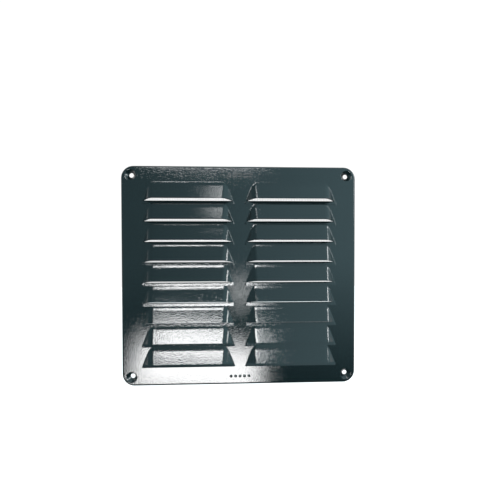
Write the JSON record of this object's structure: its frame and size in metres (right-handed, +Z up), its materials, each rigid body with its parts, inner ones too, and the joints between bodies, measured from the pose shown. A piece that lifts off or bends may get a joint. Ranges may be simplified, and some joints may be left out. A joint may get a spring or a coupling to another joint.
{
  "type": "louvred air grille",
  "caption": "Pressed sheet-steel ventilation grille with downward-facing hooded louvres, countersunk screw holes in its corners and a clipped insect screen behind.",
  "frame": {"origin": "middle of the four screw holes, on the wall plane at the back of the rim and the screw dimples", "axes": "+Z up, +X to the right seen from the room, -Y out of the wall towards the room (the louvre side)"},
  "size_m": [0.23, 0.01, 0.215],
  "materials": {
    "paint": "gloss, very dark teal paint with a fine orange-peel texture",
    "screen_wire": "plain drawn wire",
    "screen_edging": "mill finish folded strip",
    "clip_steel": "bright zinc-plated spring strip"
  },
  "bodies": {
    "root": {"louvre_plate": "paint", "screen_warp_wires": "screen_wire", "screen_weft_wires": "screen_wire", "screen_edging_top": "screen_edging", "screen_edging_right": "screen_edging", "screen_edging_bottom": "screen_edging", "screen_edging_left": "screen_edging", "screen_clip_top_left": "clip_steel", "screen_clip_top_right": "clip_steel", "screen_clip_bottom_left": "clip_steel", "screen_clip_bottom_right": "clip_steel", "screen_clip_left_lower": "clip_steel", "screen_clip_left_upper": "clip_steel", "screen_clip_right_lower": "clip_steel", "screen_clip_right_upper": "clip_steel"}
  },
  "joints": []
}
